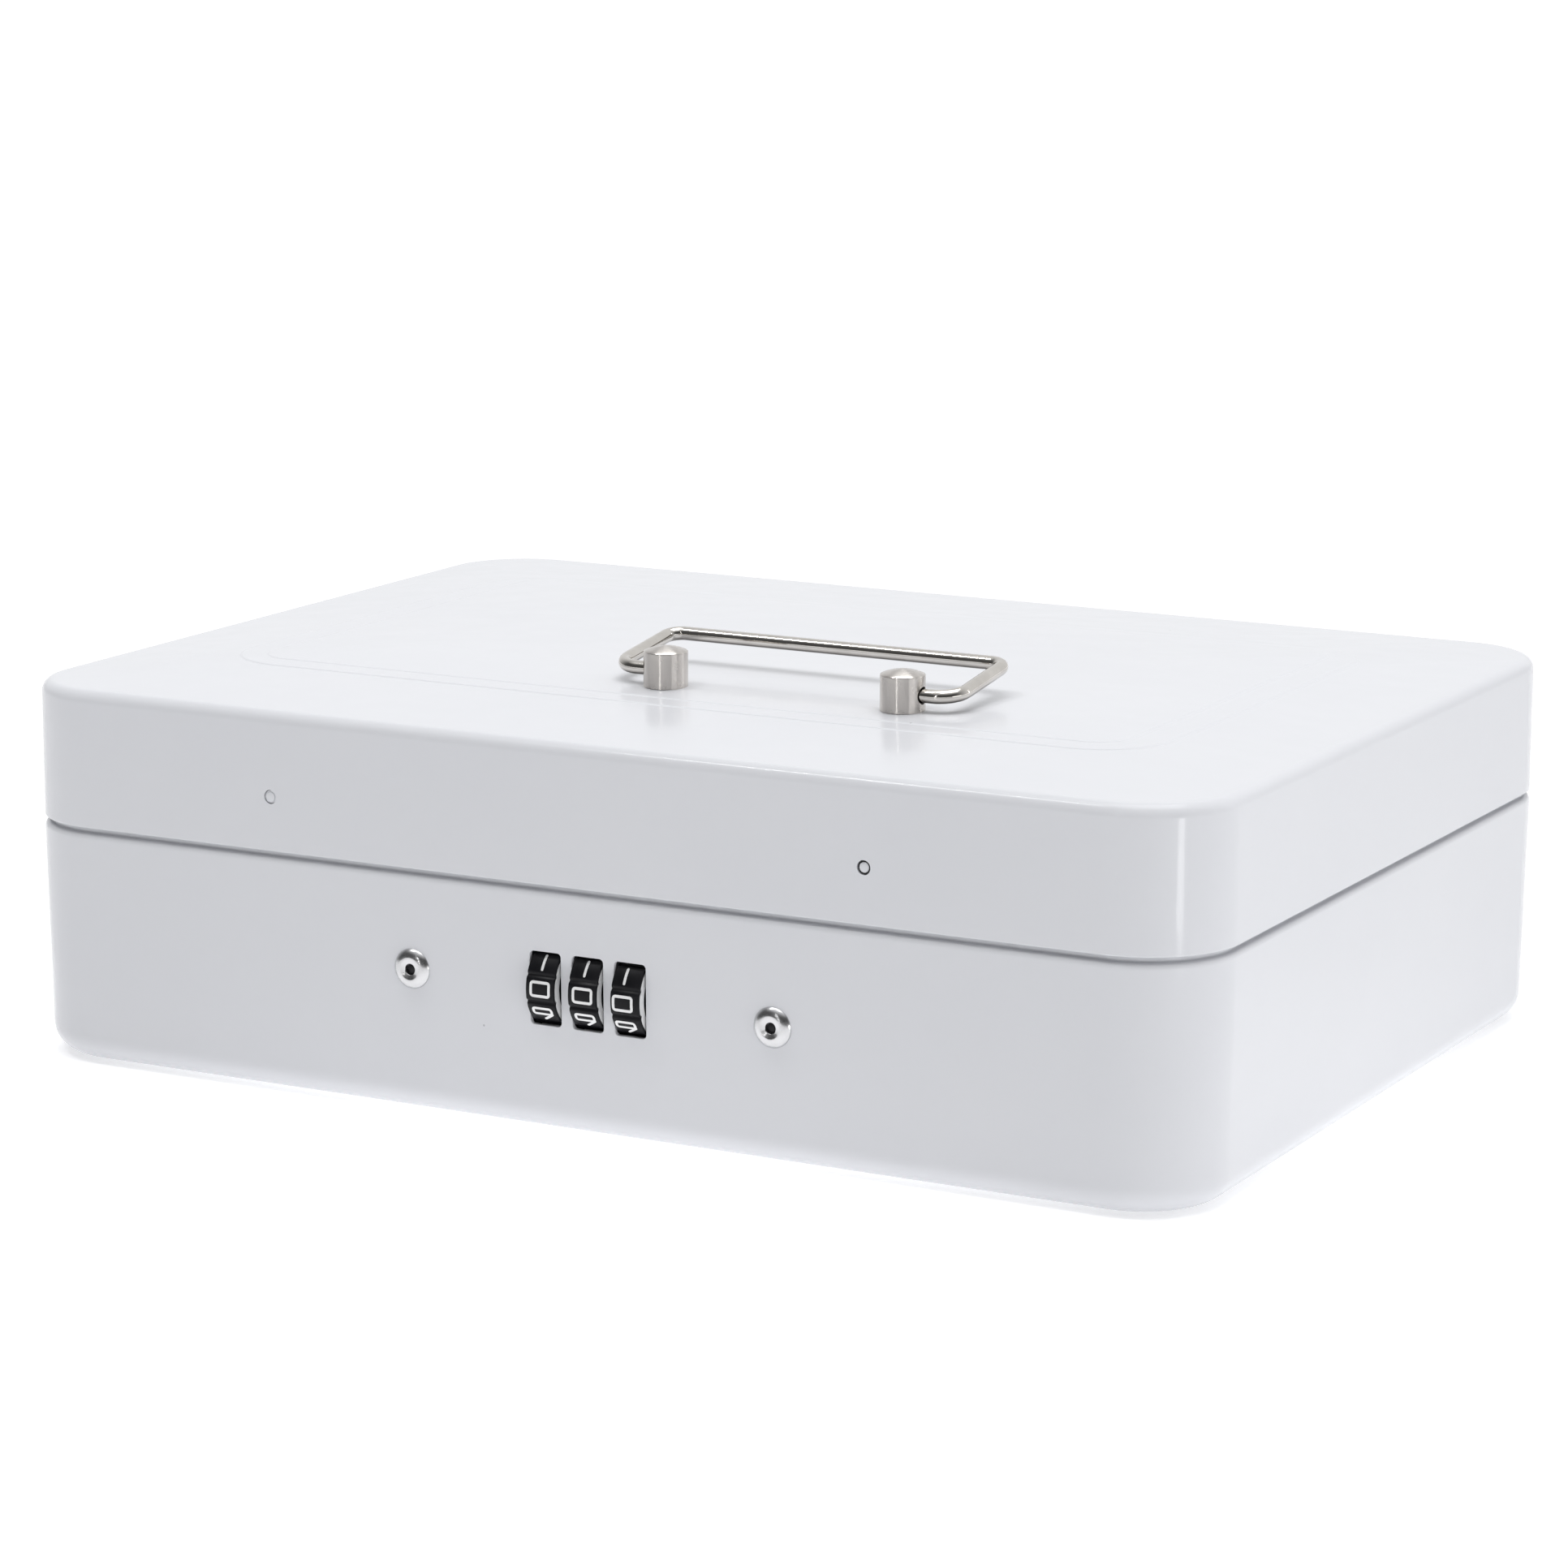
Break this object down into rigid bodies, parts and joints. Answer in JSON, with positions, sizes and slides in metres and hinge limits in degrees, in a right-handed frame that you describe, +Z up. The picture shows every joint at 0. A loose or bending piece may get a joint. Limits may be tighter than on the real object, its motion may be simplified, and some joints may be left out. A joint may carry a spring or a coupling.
{
  "type": "cash box",
  "caption": "Flat steel cash box with a hinged hipped lid, a folding wire bail handle, a numbered dial lock in the front wall and a lift-out coin tray.",
  "frame": {"origin": "middle of the flat underside", "axes": "+X to the right of the dials seen from the front, +Y from the dials towards the hinges, +Z up out of the lid"},
  "size_m": [0.3, 0.2258, 0.1007],
  "materials": {
    "white_paint": "gloss powder coat",
    "nickel": "polished nickel plate",
    "brushed_nickel": "satin nickel plate",
    "aluminium": "bright",
    "zinc": "bright zinc plate",
    "spring_steel": "plain spring steel",
    "dial_black": "moulded, satin",
    "cam_white": "moulded",
    "tray_black": "moulded, fine grain"
  },
  "bodies": {
    "base": {"base_shell": "white_paint", "hinge_base_leaf_left": "zinc", "hinge_base_leaf_right": "zinc", "hinge_pin_left": "spring_steel", "hinge_pin_right": "spring_steel", "lock_case": "zinc", "blind_rivet_left": "aluminium", "blind_rivet_right": "aluminium", "dial_spindle": "zinc", "spindle_clip": "spring_steel", "spindle_spacer": "zinc", "spindle_spring": "spring_steel", "detent_spring": "spring_steel", "slide_guide": "zinc", "slide_spring": "spring_steel", "tray_ledge_left": "zinc", "tray_ledge_right": "zinc"},
    "lid": {"lid_shell": "white_paint", "hinge_lid_leaf_left": "zinc", "hinge_lid_leaf_right": "zinc", "handle_post_left": "brushed_nickel", "handle_post_right": "brushed_nickel", "post_washer_left": "zinc", "post_washer_right": "zinc", "lid_strike": "zinc", "strike_rivet_left": "white_paint", "strike_rivet_right": "white_paint"},
    "handle": {"handle_bail": "nickel"},
    "dial_1": {"dial_wheel_1": "dial_black", "cam_sleeve_1": "cam_white"},
    "dial_2": {"dial_wheel_2": "dial_black", "cam_sleeve_2": "cam_white"},
    "dial_3": {"dial_wheel_3": "dial_black", "cam_sleeve_3": "cam_white"},
    "slide": {"lock_slide": "zinc"},
    "lever": {"reset_lever": "nickel"},
    "tray": {"coin_tray": "tray_black"}
  },
  "joints": [
    {"name": "lid_hinge", "type": "hinge", "parent": "base", "child": "lid", "pos_m": [0, 0.1119, 0.0553], "axis": [-1, 0, 0], "range_deg": [0, 105]},
    {"name": "handle_fold", "type": "hinge", "parent": "lid", "child": "handle", "pos_m": [0.0239, -0.0527, 0.0951], "axis": [1, 0, 0], "range_deg": [0, 164]},
    {"name": "dial_1_turn", "type": "hinge", "parent": "base", "child": "dial_1", "pos_m": [-0.0052, -0.10145, 0.0329], "axis": [1, 0, 0], "continuous": true},
    {"name": "dial_2_turn", "type": "hinge", "parent": "base", "child": "dial_2", "pos_m": [0.0055, -0.10145, 0.0329], "axis": [1, 0, 0], "continuous": true},
    {"name": "dial_3_turn", "type": "hinge", "parent": "base", "child": "dial_3", "pos_m": [0.0162, -0.10145, 0.0329], "axis": [1, 0, 0], "continuous": true},
    {"name": "slide_travel", "type": "slide", "parent": "base", "child": "slide", "axis": [1, 0, 0], "range_m": [0, 0.0023], "stiffness_N_per_m": 120, "deforming": ["slide_spring"]},
    {"name": "lever_travel", "type": "slide", "parent": "base", "child": "lever", "axis": [1, 0, 0], "range_m": [0, 0.003]},
    {"name": "tray_lift", "type": "slide", "parent": "base", "child": "tray", "axis": [0, 0, 1], "range_m": [0, 0.02]}
  ]
}
